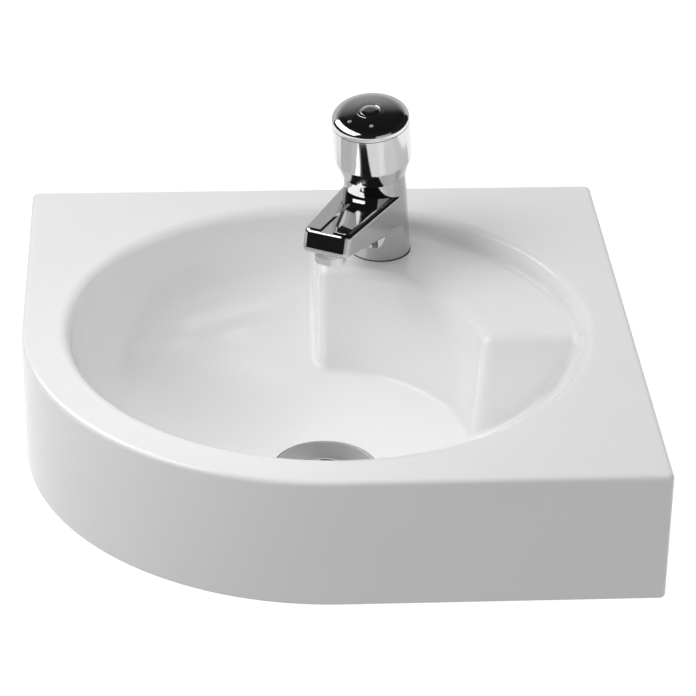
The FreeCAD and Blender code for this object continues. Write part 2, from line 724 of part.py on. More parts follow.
def place_outlet(thing, name):
    """Move a piece drawn on its own axis to the outlet at the end of the spout."""
    x = f"({TAP_X} + {OUTLET_REACH} * cos(spout_turn))"
    y = f"({TAP_Y} + {OUTLET_REACH} * sin(spout_turn))"
    piece(place(thing, x, y, TAP_Z, yaw="spout_turn"), name)


# ---- tap cartridge and knob -------------------------------------------------

def stem_section(name, growth, length, base):
    """The spindle's section, round with two flats, so that turning the knob turns the mixer."""
    bar = cylinder(name + "_round", f"(stem_radius + {growth})", length, base)
    flats = box(name + "_flats", f"(stem_flats + 2 * {growth})", "4 * stem_radius", length,
                f"(-stem_flats / 2 - {growth})", "-2 * stem_radius", base)
    return common(name, bar, flats)


def make_cartridge():
    outer = "(chamber_radius - slip)"
    groove = "(chamber_radius - groove_depth)"
    stem_bore = "(stem_radius + gap)"
    stem_floor = f"({CARTRIDGE_TOP} - stem_engagement - press_travel - groove_width)"
    corners = [("0", "chamber_floor"), (outer, "chamber_floor")]
    levels = ("(chamber_floor + 3 * groove_width)", "(chamber_floor + 6 * groove_width)")
    for level in levels:
        top = f"({level} + groove_width)"
        corners += [(outer, level), (groove, level), (groove, top), (outer, top)]
    corners += [(outer, CARTRIDGE_TOP), (stem_bore, CARTRIDGE_TOP), (stem_bore, stem_floor), ("0", stem_floor)]
    piece(on_column(turned("cartridge", corners)), "mixing_cartridge")

    rings = []
    for number, level in enumerate(levels):
        rings.append(ring(f"seal_ring_{number}", "chamber_radius - slip", f"({groove} + slip)",
                          "groove_width - 2 * slip", f"({level} + slip)"))
    pair = document.addObject("Part::Compound", "o_rings")
    pair.Links = rings
    piece(on_column(pair), "cartridge_o_rings")

    bore = "(mixer_radius + fit)"
    blank = cylinder("ring_nut_blank", "chamber_radius - slip", "ring_nut_height", CARTRIDGE_TOP)
    hole = cylinder("ring_nut_bore", bore, "ring_nut_height", CARTRIDGE_TOP)
    recess = cylinder("ring_nut_recess", "mixer_radius + mixer_foot + gap", "mixer_foot + gap", CARTRIDGE_TOP)
    slots = []
    for number, turn in enumerate(("0", "90")):
        slot = box(f"key_slot_{number}", "4 * chamber_radius", "mixer_foot", "mixer_foot",
                   "-2 * chamber_radius", "-mixer_foot / 2")
        carrier = document.addObject("Part::Compound", f"key_slot_{number}_turned")
        carrier.Links = [slot]
        slots.append(place(carrier, z="column_length - mixer_foot", yaw=turn))
    tools = fuse("ring_nut_cuts", [hole, recess] + slots)
    piece(on_column(cut("ring_nut", blank, tools)), "cartridge_ring_nut")


def make_spindle():
    """The mixer sleeve turns in the ring nut. The stem slides in it and carries the knob."""
    foot = f"({CARTRIDGE_TOP} + fit)"
    foot_top = f"({CARTRIDGE_TOP} + mixer_foot)"
    wide = "(mixer_radius + mixer_foot)"
    seat = f"({SPRING_SEAT} - spring_seat_thick)"
    top = "(column_length + mixer_rise)"
    corners = [("0", foot), (wide, foot), (wide, foot_top), ("mixer_radius", foot_top),
               ("mixer_radius", seat), ("spring_seat_radius", seat), ("spring_seat_radius", SPRING_SEAT),
               ("mixer_radius", SPRING_SEAT), ("mixer_radius", top), ("0", top)]
    bore = stem_section("mixer_bore", "fit", "column_length", f"({CARTRIDGE_TOP} - mixer_foot)")
    piece(on_column(cut("mixer", turned("mixer_blank", corners), bore)), "mixing_sleeve")

    base = f"({CARTRIDGE_TOP} - stem_engagement)"
    length = f"({WEB_UNDER} - {base})"
    hole = cylinder("stem_thread", "knob_screw_radius", "knob_screw_length",
                    f"({WEB_TOP} - knob_screw_length)")
    piece(on_column(cut("stem", stem_section("stem_bar", "0 * fit", length, base), hole)), "knob_stem")


def make_spring():
    """The return spring, one unbroken square wire between the sleeve's seat and the knob's web."""
    length = f"({WEB_UNDER} - {SPRING_SEAT} - 2 * wire_half - 2 * gap)"
    line = document.addObject("Part::Helix", "spring_line")
    bind(line, Radius="spring_radius", Height=length, Pitch=f"{length} / spring_turns")
    wire = document.addObject("Part::RegularPolygon", "spring_wire")
    wire.Polygon = 4
    bind(wire, Circumradius="wire_half / cos(45)")
    place(wire, x="spring_radius", pitch="45", roll="90")
    spring = document.addObject("Part::Sweep", "spring")
    spring.Sections = [wire]
    spring.Spine = (line, ["Edge1"])
    spring.Solid = True
    spring.Frenet = True
    carrier = document.addObject("Part::Compound", "spring_in_place")
    carrier.Links = [place(spring, z=f"({SPRING_SEAT} + wire_half + gap)")]
    piece(on_column(carrier), "return_spring")


def make_knob():
    inner = "(knob_radius - knob_wall)"
    hub_low = f"({WEB_UNDER} - hub_length)"
    hub_bore = "(stem_radius + slip)"
    corners = [
        ("(knob_rim_radius - knob_rim_wall)", KNOB_RIM), ("knob_rim_radius", KNOB_RIM),
        ("knob_radius", FLARE_TOP), ("knob_radius", SLEEVE_TOP), (inner, SLEEVE_TOP), (inner, WEB_TOP),
        ("(knob_screw_radius + slip)", WEB_TOP), ("(knob_screw_radius + slip)", WEB_UNDER),
        (hub_bore, WEB_UNDER), (hub_bore, hub_low), ("hub_radius", hub_low), ("hub_radius", WEB_UNDER),
        (inner, WEB_UNDER), (inner, FLARE_TOP),
    ]
    body = turned("knob", corners)
    radius = SIZES["knob_radius"]
    level = SIZES["column_length"] - SIZES["knob_overlap"] + SIZES["knob_flare"]
    rounded(body, "knob_corner", lambda p, e: near(p.z, level) and near(math.hypot(p.x, p.y), radius),
            "flare_edge")
    piece(on_column(body), "knob_sleeve")

    head = ("knob_screw_head", f"({WEB_TOP} + knob_screw_head_height)")
    tip = f"({WEB_TOP} - knob_screw_length + slip)"
    shaft = "(knob_screw_radius - slip)"
    screw = turned("knob_screw_blank", [("0", tip), (shaft, tip), (shaft, WEB_TOP),
                                        ("knob_screw_head", WEB_TOP), head, ("0", head[1])])
    piece(on_column(screw), "knob_screw")


def make_cap():
    """The lid of the knob, with its index marks and the plain plug over the screw."""
    outer = "knob_radius"
    under = f"({CAP_TOP} - cap_wall - plug_thick)"
    spigot = "(knob_radius - knob_wall - slip)"
    inside = "(knob_radius - knob_wall - slip - cap_wall)"
    low = f"({CAP_UNDER} - cap_joint - cap_spigot)"
    plug_edge = "(plug_radius + slip)"
    plug_seat = f"({CAP_TOP} - plug_thick)"
    corners = [
        (spigot, low), (spigot, CAP_UNDER), (outer, CAP_UNDER), (outer, CAP_TOP),
        (plug_edge, CAP_TOP), (plug_edge, plug_seat), ("knob_screw_head", plug_seat),
        ("knob_screw_head", under), (inside, under), (inside, low),
    ]
    body = turned("cap", corners)
    radius, top = SIZES["knob_radius"], body.Tip.Shape.BoundBox.ZMax
    rounded(body, "cap_round", lambda p, e: near(p.z, top) and near(math.hypot(p.x, p.y), radius), "cap_edge")

    sinks, marks = [], []
    for number, sign in enumerate(("-", "")):
        turn = f"({sign}mark_angle)"
        x, y = f"mark_circle * cos({turn})", f"mark_circle * sin({turn})"
        base = f"({CAP_TOP} - mark_depth)"
        sinks.append(cylinder(f"mark_sink_{number}", "mark_radius + slip", "3 * mark_depth", base, x, y))
        marks.append(cylinder(f"mark_{number}", "mark_radius", "mark_depth + mark_proud", base, x, y))
    piece(on_column(cut("cap_sunk", body, fuse("mark_sinks", sinks))), "knob_cap")
    pair = document.addObject("Part::Compound", "marks")
    pair.Links = marks
    piece(on_column(pair), "index_marks")

    plug = turned("plug", [("0", plug_seat), ("plug_radius", plug_seat),
                           ("plug_radius", CAP_TOP), ("0", CAP_TOP)])
    piece(on_column(plug), "cap_plug")


# ---- waste ------------------------------------------------------------------

def make_flange():
    """Dished flange with the strainer in its middle: four openings round the screw."""
    edge_top = f"({FLANGE_UNDER} + flange_edge)"
    skin = f"({STRAINER_TOP} - strainer_thick)"
    throat = "(strainer_radius + throat_wall)"
    low = f"({FLANGE_UNDER} - throat_length)"
    corners = [
        ("0", STRAINER_TOP), ("strainer_radius", STRAINER_TOP),
        ("(flange_radius - flange_edge)", f"({edge_top} + flange_rise)"), ("flange_radius", edge_top),
        ("flange_radius", FLANGE_UNDER), (throat, FLANGE_UNDER), (throat, low),
        ("strainer_radius", low), ("strainer_radius", skin), ("0", skin),
    ]
    blank = turned("flange", corners)
    tools = [cylinder("screw_way", "waste_screw_radius + slip", "4 * strainer_thick",
                      f"({skin} - strainer_thick)")]
    for number in range(4):
        sector = document.addObject("Part::Cylinder", f"slot_sector_{number}")
        bind(sector, Radius="slot_outer", Height="4 * strainer_thick", Angle="slot_angle")
        place(sector, z=f"({skin} - strainer_thick)", yaw=f"slot_turn + {90 * number}")
        hub = cylinder(f"slot_hub_{number}", "slot_inner", "6 * strainer_thick",
                       f"({skin} - 2 * strainer_thick)")
        tools.append(cut(f"slot_{number}", sector, hub))
    piece(at_waste(cut("flange_slotted", blank, fuse("flange_openings", tools))), "waste_flange")
    seal = ring("top_seal", "flange_radius - flange_edge", f"({throat} + gap)", "top_seal_thick", SEAT_LEVEL)
    piece(at_waste(seal), "waste_top_seal")


def make_waste_body():
    """Threaded tail with its cup flange, and the gasket that seals it from below."""
    inner = "(strainer_radius + throat_wall + gap)"
    spigot = f"({inner} + spigot_wall)"
    cup_top, cup_low = GASKET_UNDER, f"({GASKET_UNDER} - cup_thick)"
    end = f"({GASKET_UNDER} - tail_length)"
    head = f"({BOSS_LEVEL} + spigot_rise)"
    corners = [
        (inner, head), (spigot, head), (spigot, cup_top), ("cup_radius", cup_top), ("cup_radius", cup_low),
        ("tail_radius", cup_low), ("tail_radius", end), ("tail_bore", end), ("tail_bore", cup_low),
        (inner, cup_top),
    ]
    shell = turned("tail", corners)
    web_low = f"({cup_low} - web_height + web_thick)"
    boss = cylinder("screw_boss", "screw_boss_radius", "web_height", web_low)
    webs = []
    for number in range(3):
        web = box(f"web_{number}", "tail_bore + throat_wall", "web_thick", "web_height", "0", "-web_thick / 2")
        carrier = document.addObject("Part::Compound", f"web_{number}_turned")
        carrier.Links = [web]
        webs.append(place(carrier, z=web_low, yaw=str(120 * number)))
    whole = fuse("tail_with_webs", [shell, boss] + webs)
    thread = cylinder("boss_thread", "waste_screw_radius", "4 * web_height", f"({web_low} - web_height)")
    piece(at_waste(cut("tail_drilled", whole, thread)), "waste_body")

    gasket = ring("gasket", "gasket_radius", f"({spigot} + gap)", "gasket_thick", GASKET_UNDER)
    piece(at_waste(gasket), "waste_gasket")

    top = f"({STRAINER_TOP} + waste_screw_head_height)"
    shaft = "(waste_screw_radius - slip)"
    screw = turned("waste_screw_blank", [("0", web_low), (shaft, web_low), (shaft, STRAINER_TOP),
                                         ("waste_screw_head", STRAINER_TOP),
                                         ("waste_screw_head", top), ("0", top)])
    piece(at_waste(screw), "waste_screw")


def check_and_write():
    """Stop on any failed object, then write each sub-part under its own name."""
    document.recompute()
    for thing in document.Objects:
        if "Invalid" in thing.State or "Error" in thing.State:
            raise RuntimeError(f"{thing.Label} failed: {thing.State}")
    os.makedirs("parts", exist_ok=True)
    for thing in PIECES:
        shape = thing.Shape
        if shape.isNull() or not shape.isValid():
            raise RuntimeError(f"{thing.Label} has no valid shape")
        shape.exportStep(f"parts/{thing.Label}.step")
        print(thing.Label, len(shape.Solids), "solid(s),", round(shape.Volume), "mm3")


make_basin()
make_tap_body()
make_tap_fixing()
make_aerator()
make_cartridge()
make_spindle()
make_spring()
make_knob()
make_cap()
make_flange()
make_waste_body()
check_and_write()
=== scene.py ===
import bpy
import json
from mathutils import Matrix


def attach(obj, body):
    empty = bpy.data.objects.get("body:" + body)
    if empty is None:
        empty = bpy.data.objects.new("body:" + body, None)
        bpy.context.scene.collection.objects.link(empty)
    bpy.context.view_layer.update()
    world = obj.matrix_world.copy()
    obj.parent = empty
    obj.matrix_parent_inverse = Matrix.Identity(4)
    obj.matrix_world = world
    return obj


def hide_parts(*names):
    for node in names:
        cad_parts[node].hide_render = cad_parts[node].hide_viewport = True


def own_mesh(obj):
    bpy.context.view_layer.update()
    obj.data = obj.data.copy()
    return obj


bl_info = {
    "name": "Corner Basin",
    "version": (1, 0, 0),
    "blender": (4, 5, 0),
    "location": "View3D > Sidebar > Basin",
    "description": "Finishes for a ceramic corner basin with a press-knob mixer tap and a strainer waste",
    "category": "Object",
}

import json
import math

import bmesh
import bpy
from bpy.props import FloatProperty, FloatVectorProperty, IntProperty, PointerProperty
from mathutils import Matrix, Vector

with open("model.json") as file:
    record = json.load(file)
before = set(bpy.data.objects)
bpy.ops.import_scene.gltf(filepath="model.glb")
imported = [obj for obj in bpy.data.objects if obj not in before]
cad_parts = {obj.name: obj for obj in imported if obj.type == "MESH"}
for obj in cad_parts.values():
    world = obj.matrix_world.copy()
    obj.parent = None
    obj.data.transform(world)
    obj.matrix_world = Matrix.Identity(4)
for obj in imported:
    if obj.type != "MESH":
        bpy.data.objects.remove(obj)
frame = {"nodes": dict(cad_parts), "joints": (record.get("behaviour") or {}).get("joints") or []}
NODES = frame["nodes"]
JOINTS = {joint["name"]: joint for joint in frame["joints"]}
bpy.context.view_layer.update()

CRISP_ANGLE = math.radians(32)   # a corner that turns more than this stays crisp

# Small fixed details of the lid, in metres unless said otherwise.
LID_BAND = 0.0007                # upright band between the bend and the joint
EASED = 0.0002                   # width of an eased edge
BEND = 0.62                      # how full the bend of the lid's edge is, as a share
DOME_STEPS = 5
PLUG_GAP = 0.0001                # free gap round the plug
RING_PLACE = 0.72                # where the turned ring lies, as a share of the plug's radius
RING_HALF = 0.0004
RING_DEPTH = 0.00025
MARK_CROWN = 0.0004
MARK_BENDS = (0.0, 0.4, 0.8, 1.2)    # angles of the points on a mark's crown, in radians

# The studio, in metres unless said otherwise.
BOWL_MIDDLE = (-0.225, -0.225, 0)
BOWL_AIM = (-0.255, -0.265, -0.1)
BOWL_CONE = math.radians(17)     # full angle of the light into the bowl
BOWL_LAMP_RADIUS = 0.12
LAMP_SIDE = 0.8
FLOOR_SIDE = 12
ROOM_MIDDLE = (-0.2, -0.1)       # what the reflection cards stand round
DARK = 0.015                     # strength of a card that reads as black


# ---- settings ---------------------------------------------------------------

def colour(name, description, value):
    return FloatVectorProperty(name=name, description=description, subtype="COLOR", size=3,
                               min=0, max=1, default=value)


def share(name, description, value):
    return FloatProperty(name=name, description=description, subtype="FACTOR", min=0, max=1, default=value)


def length(name, description, value):
    return FloatProperty(name=name, description=description, unit="LENGTH", precision=4, default=value)


def amount(name, description, value):
    return FloatProperty(name=name, description=description, min=0, default=value)


def angle(name, description, value):
    return FloatProperty(name=name, description=description, subtype="ANGLE", default=value)


class GlazeSettings(bpy.types.PropertyGroup):
    """White glaze of the basin."""
    body: colour("Glaze", "Colour of the glaze", (0.90, 0.90, 0.897))
    thin: colour("Thin glaze", "Colour where the glaze runs thinner", (0.88, 0.88, 0.877))
    roughness: share("Roughness", "Roughness of the fired glaze", 0.11)
    ripple: length("Ripple", "Size of the soft ripples in the glaze", 0.018)
    ripple_depth: length("Ripple depth", "Depth of the ripples", 0.00003)


class ChromeSettings(bpy.types.PropertyGroup):
    """Polished chrome of the tap and brushed chrome of the waste."""
    plating: colour("Plating", "Colour of the plating", (0.60, 0.60, 0.61))
    roughness: share("Roughness", "Roughness of the polish", 0.035)
    waste: colour("Waste", "Colour of the brushed waste", (0.78, 0.78, 0.78))
    waste_roughness: share("Waste roughness", "Roughness of the waste, which is brushed", 0.30)
    waves: length("Waves", "Size of the faint waves left by polishing", 0.012)


class InnerSettings(bpy.types.PropertyGroup):
    """Parts below the ledge and inside the tap."""
    brass: colour("Brass", "Turned brass", (0.62, 0.45, 0.20))
    steel: colour("Steel", "Stainless steel", (0.50, 0.50, 0.51))
    rubber: colour("Rubber", "Seals and washers", (0.018, 0.018, 0.019))
    plastic: colour("Plastic", "Moulded inner parts", (0.27, 0.28, 0.29))
    mark: colour("Index mark", "Marks on the knob's lid", (0.35, 0.35, 0.36))


class SpringSettings(bpy.types.PropertyGroup):
    """Return spring inside the press knob."""
    radius: length("Radius", "Radius of the coil to the middle of the wire", 0.0106)
    wire: length("Wire", "Half the thickness of the wire", 0.0008)
    turns: IntProperty(name="Turns", description="Turns of the coil", min=1, default=5)


class LidSettings(bpy.types.PropertyGroup):
    """Domed lid of the press knob, with its plug and index marks."""
    top: length("Top", "Level of the lid's top above the ledge, along the column", 0.1318)
    radius: length("Radius", "Half the lid's width", 0.030)
    height: length("Height", "From the joint under the lid to its top", 0.0097)
    shoulder: length("Shoulder", "Where the dome turns down into the edge", 0.021)
    dome: length("Dome", "Fall of the dome from the middle to the shoulder", 0.0009)
    wall: length("Wall", "Thickness of the lid", 0.0024)
    spigot: length("Spigot", "Outer radius of the ring that goes into the knob", 0.0281)
    spigot_depth: length("Spigot depth", "How far that ring goes into the knob", 0.0043)
    plug: length("Plug", "Radius of the plug in the middle", 0.0104)
    plug_depth: length("Plug depth", "Thickness of the plug", 0.0016)
    screw_room: length("Screw room", "Radius of the hole over the screw", 0.0044)
    mark: length("Mark", "Radius of an index mark", 0.0016)
    mark_circle: length("Mark circle", "Distance of the marks from the knob's axis", 0.020)
    mark_angle: angle("Mark angle", "Turn of each mark from the spout's side", 0.47)


class StageSettings(bpy.types.PropertyGroup):
    """Camera, floor and light."""
    lens: amount("Lens", "Focal length in millimetres for a 36 mm frame", 150.87)
    camera_place: FloatVectorProperty(name="Camera", description="Place of the camera", subtype="XYZ",
                                      unit="LENGTH", size=3, default=(-0.334151, -2.115635, 1.037737))
    heading: angle("Heading", "Turn of the view from +Y towards +X", 0.066)
    dip: angle("Dip", "How far the view looks down", 0.510)
    tilt: angle("Tilt", "Turn of the camera about its view", 0.016)
    floor_level: length("Floor", "Level of the floor below the deck of the wall-hung basin", -0.85)
    key: amount("Key light", "Power of the large light on the left, in watts", 7.6)
    fill: amount("Fill light", "Power of the weaker light on the right, in watts", 1.6)
    bowl: amount("Bowl light", "Power of the narrow soft light into the bowl, in watts", 13.0)
    ambient: amount("Ambient", "Even light from all round", 0.54)
    floor_glow: amount("Floor glow", "White added to the floor where the camera sees it", 0.76)


SETTINGS = {
    "basin_glaze": GlazeSettings,
    "basin_chrome": ChromeSettings,
    "basin_inner": InnerSettings,
    "basin_lid": LidSettings,
    "basin_spring": SpringSettings,
    "basin_stage": StageSettings,
}


# ---- shader building blocks -------------------------------------------------

def wire(tree, source, output, target, name):
    tree.links.new(source.outputs[output], target.inputs[name])


def shader_node(tree, kind, **values):
    """A node of a shader tree with its plain input values set."""
    node = tree.nodes.new(kind)
    for name, value in values.items():
        node.inputs[name.replace("_", " ")].default_value = value
    return node


def math_node(tree, operation):
    node = tree.nodes.new("ShaderNodeMath")
    node.operation = operation
    return node


def density_node(group, given, size):
    """How many times a pattern repeats in a metre, from the size that the group is given."""
    density = math_node(group, "DIVIDE")
    density.inputs[0].default_value = 1.0
    wire(group, given, size, density, 1)
    return density


def effect_group(name, inputs, outputs):
    """A node group with float sockets, and its input and output nodes."""
    group = bpy.data.node_groups.new(name, "ShaderNodeTree")
    for label, default in inputs.items():
        socket = group.interface.new_socket(label, in_out="INPUT", socket_type="NodeSocketFloat")
        socket.default_value = default
    for label in outputs:
        group.interface.new_socket(label, in_out="OUTPUT", socket_type="NodeSocketFloat")
    return group, group.nodes.new("NodeGroupInput"), group.nodes.new("NodeGroupOutput")


def patchiness_group():
    """Soft cloudy variation between two values, for roughness and masks."""
    inputs = {"Patch Size": 0.01, "Low": 0.0, "High": 1.0}
    group, given, result = effect_group("Patchiness", inputs, ["Value"])
    place = group.nodes.new("ShaderNodeTexCoord")
    density = density_node(group, given, "Patch Size")
    cloud = shader_node(group, "ShaderNodeTexNoise", Detail=3.0, Roughness=0.55)
    spread = shader_node(group, "ShaderNodeMapRange", From_Min=0.3, From_Max=0.7)
    wire(group, place, "Object", cloud, "Vector")
    wire(group, density, "Value", cloud, "Scale")
    wire(group, cloud, "Fac", spread, "Value")
    wire(group, given, "Low", spread, "To Min")
    wire(group, given, "High", spread, "To Max")
    wire(group, spread, "Result", result, "Value")
    return group


def turning_marks_group():
    """Fine rings left by a lathe about the upright axis, as a height."""
    group, given, result = effect_group("Turning Marks", {"Pitch": 0.0004, "Break Up": 0.3}, ["Height"])
    place = group.nodes.new("ShaderNodeTexCoord")
    density = density_node(group, given, "Pitch")
    rings = group.nodes.new("ShaderNodeTexWave")
    rings.wave_type = "BANDS"
    rings.bands_direction = "Z"
    wire(group, place, "Object", rings, "Vector")
    wire(group, density, "Value", rings, "Scale")
    wire(group, given, "Break Up", rings, "Distortion")
    wire(group, rings, "Fac", result, "Height")
    return group


def shared_group(name):
    makers = {"Patchiness": patchiness_group, "Turning Marks": turning_marks_group}
    return bpy.data.node_groups.get(name) or makers[name]()


def use_group(tree, name, **values):
    node = tree.nodes.new("ShaderNodeGroup")
    node.node_tree = shared_group(name)
    for label, value in values.items():
        node.inputs[label.replace("_", " ")].default_value = value
    return node


def new_surface(name, colour_value, **values):
    """A material with one Principled shader whose constants are set on its own sockets."""
    material = bpy.data.materials.new(name)
    material.use_nodes = True
    surface = material.node_tree.nodes["Principled BSDF"]
    surface.inputs["Base Color"].default_value = (*colour_value, 1.0)
    for label, value in values.items():
        surface.inputs[label.replace("_", " ")].default_value = value
    return material, material.node_tree, surface


def vary_roughness(tree, surface, low, high, patch):
    mask = use_group(tree, "Patchiness", Patch_Size=patch, Low=low, High=high)
    wire(tree, mask, "Value", surface, "Roughness")


def vary_colour(tree, surface, first, second, patch):
    mask = use_group(tree, "Patchiness", Patch_Size=patch)
    blend = tree.nodes.new("ShaderNodeMix")
    blend.data_type = "RGBA"
    blend.inputs["A"].default_value = (*first, 1.0)
    blend.inputs["B"].default_value = (*second, 1.0)
    wire(tree, mask, "Value", blend, "Factor")
    wire(tree, blend, "Result", surface, "Base Color")


def bump(tree, surface, source, output, depth, strength=1.0):
    relief = shader_node(tree, "ShaderNodeBump", Strength=strength, Distance=depth)
    wire(tree, source, output, relief, "Height")
    wire(tree, relief, "Normal", surface, "Normal")


def noise_relief(tree, surface, size, depth, detail=1.0):
    place = tree.nodes.new("ShaderNodeTexCoord")
    cloud = shader_node(tree, "ShaderNodeTexNoise", Scale=1.0 / size, Detail=detail, Roughness=0.4)
    wire(tree, place, "Object", cloud, "Vector")
    bump(tree, surface, cloud, "Fac", depth)


# ---- finishes ---------------------------------------------------------------

def glaze():
    """Fired white glaze: a hard, clear skin with long soft ripples."""
    look = bpy.context.scene.basin_glaze
    material, tree, surface = new_surface("white_glaze", look.body, IOR=1.5, Coat_Weight=0.25,
                                          Coat_Roughness=0.05)
    vary_colour(tree, surface, look.body, look.thin, patch=0.09)
    vary_roughness(tree, surface, look.roughness, look.roughness + 0.05, patch=0.05)
    noise_relief(tree, surface, look.ripple, look.ripple_depth)
    return material


def chrome(name, tint, roughness, patch):
    """Plating, polished or brushed, with the faint waves that polishing leaves."""
    look = bpy.context.scene.basin_chrome
    material, tree, surface = new_surface(name, tint, Metallic=1.0)
    vary_roughness(tree, surface, roughness, roughness + 0.03, patch)
    noise_relief(tree, surface, look.waves, depth=0.000004, detail=2.0)
    return material


def turned_metal(name, tint, roughness):
    """Unplated metal with the fine rings of the lathe."""
    material, tree, surface = new_surface(name, tint, Metallic=1.0)
    vary_roughness(tree, surface, roughness, roughness + 0.15, patch=0.006)
    marks = use_group(tree, "Turning Marks", Pitch=0.0006, Break_Up=0.4)
    bump(tree, surface, marks, "Height", depth=0.00002, strength=0.5)
    return material


def soft_rubber():
    look = bpy.context.scene.basin_inner
    material, tree, surface = new_surface("seal_rubber", look.rubber, IOR=1.5)
    vary_roughness(tree, surface, low=0.55, high=0.75, patch=0.003)
    noise_relief(tree, surface, size=0.0008, depth=0.00002, detail=3.0)
    return material


def moulded_plastic(name, tint, roughness):
    material, tree, surface = new_surface(name, tint, IOR=1.46)
    vary_roughness(tree, surface, roughness, roughness + 0.12, patch=0.004)
    noise_relief(tree, surface, size=0.0006, depth=0.00001, detail=2.0)
    return material


def dress(material, slot, *names):
    """Give CAD nodes a finish, in place of the plain one they come with."""
    for name in names:
        node = NODES[name]
        node.data.materials.clear()
        node.data.materials.append(material)


# ---- turned and wound pieces ------------------------------------------------

def knob_frame():
    """The knob's own frame: Z along the leaning column, X towards the spout."""
    hinge = JOINTS["temperature_turn"]
    upward = Vector(hinge["axis"])
    forward = Vector((upward.x, upward.y, 0)).normalized()
    forward = (forward - upward * forward.dot(upward)).normalized()
    turn = Matrix((forward, upward.cross(forward), upward)).transposed().to_4x4()
    return Matrix.Translation(hinge["pos_m"]) @ turn


def turned_mesh(name, outline, steps=128):
    """A closed outline of (radius, height) points turned about Z, with crisp corners kept."""
    shape = bmesh.new()
    rings = []
    for radius, height in outline:
        if radius == 0:
            rings.append([shape.verts.new((0, 0, height))])
            continue
        around = (math.tau * step / steps for step in range(steps))
        rings.append([shape.verts.new((radius * math.cos(a), radius * math.sin(a), height)) for a in around])
    for first, second in zip(rings, rings[1:] + rings[:1]):
        for step in range(steps):
            corners = [first[step % len(first)], first[(step + 1) % len(first)],
                       second[(step + 1) % len(second)], second[step % len(second)]]
            distinct = list(dict.fromkeys(corners))
            if len(distinct) > 2:
                shape.faces.new(distinct)
    return finished_mesh(name, shape)


def finished_mesh(name, shape):
    """Face the surfaces outwards, smooth them up to the crisp corners, and store the mesh."""
    bmesh.ops.recalc_face_normals(shape, faces=shape.faces)
    for face in shape.faces:
        face.smooth = True
    for edge in shape.edges:
        edge.smooth = edge.calc_face_angle(0) < CRISP_ANGLE
    mesh = bpy.data.meshes.new(name)
    shape.to_mesh(mesh)
    shape.free()
    return mesh


def knob_piece(mesh, material, node):
    """A piece of the knob that stands for a CAD node."""
    mesh.transform(knob_frame())
    mesh.materials.append(material)
    made = bpy.data.objects.new(mesh.name, mesh)
    bpy.context.scene.collection.objects.link(made)
    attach(made, "knob")
    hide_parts(node)
    return made


def dome_level(look, radius):
    """Level of the lid's dome at a distance from the axis."""
    return look.top - look.dome * (radius / look.shoulder) ** 2


def lid_edge(look, steps=14):
    """From the dome's shoulder down to the lid's upright side, as one even bend."""
    start = Vector((look.shoulder, dome_level(look, look.shoulder)))
    slope = 2 * look.dome / look.shoulder
    side = Vector((look.radius, look.top - look.height + LID_BAND))
    reach = (look.radius - look.shoulder) * BEND
    drop = (start.y - side.y) * BEND
    first = start + Vector((reach, -reach * slope))
    second = side + Vector((0, drop))
    points = []
    for step in range(steps + 1):
        t = step / steps
        point = ((1 - t) ** 3 * start + 3 * t * (1 - t) ** 2 * first + 3 * t * t * (1 - t) * second
                 + t ** 3 * side)
        points.append(tuple(point))
    return points


def lid_outline(look):
    """The domed lid with the plug's seat, the hole over the screw and the ring that goes into the knob."""
    joint = look.top - look.height
    inner = look.spigot - look.wall
    seat = look.top - look.plug_depth
    edge = look.plug + PLUG_GAP
    dome = [edge + (look.shoulder - edge) * step / DOME_STEPS for step in range(DOME_STEPS)]
    return [
        (edge, seat), *[(radius, dome_level(look, radius)) for radius in dome], *lid_edge(look),
        (look.radius, joint + EASED), (look.radius - EASED, joint), (look.spigot, joint),
        (look.spigot, joint - look.spigot_depth), (inner, joint - look.spigot_depth),
        (inner, seat - look.wall), (look.screw_room, seat - look.wall), (look.screw_room, seat),
    ]


def plug_outline(look):
    """A thin plug with an eased edge and one turned ring in its top."""
    low = look.top - look.plug_depth
    rim = look.plug - EASED
    ring = look.plug * RING_PLACE
    face = [(r, dome_level(look, r)) for r in (rim, ring + RING_HALF)]
    floor = dome_level(look, ring) - RING_DEPTH
    middle = [(r, dome_level(look, r)) for r in (ring - RING_HALF, ring / 2)]
    return [(0, low), (look.plug, low), (look.plug, dome_level(look, look.plug) - EASED), *face,
            (ring, floor), *middle, (0, look.top)]


def mark_outline(look):
    """A small round mark, sunk in the lid and crowned above it."""
    level = dome_level(look, look.mark_circle)
    crown = [(look.mark * math.cos(a), level + MARK_CROWN * math.sin(a)) for a in MARK_BENDS]
    return [(0, level - look.wall / 2), (look.mark, level - look.wall / 2), *crown, (0, level + MARK_CROWN)]


def marks_mesh(look):
    """The two equal marks, one each side of the spout's direction."""
    shape = bmesh.new()
    for turn in (-look.mark_angle, look.mark_angle):
        single = turned_mesh("mark", mark_outline(look), steps=40)
        single.transform(Matrix.Rotation(turn, 4, "Z") @ Matrix.Translation((look.mark_circle, 0, 0)))
        shape.from_mesh(single)
        bpy.data.meshes.remove(single)
    return finished_mesh("index_dots", shape)


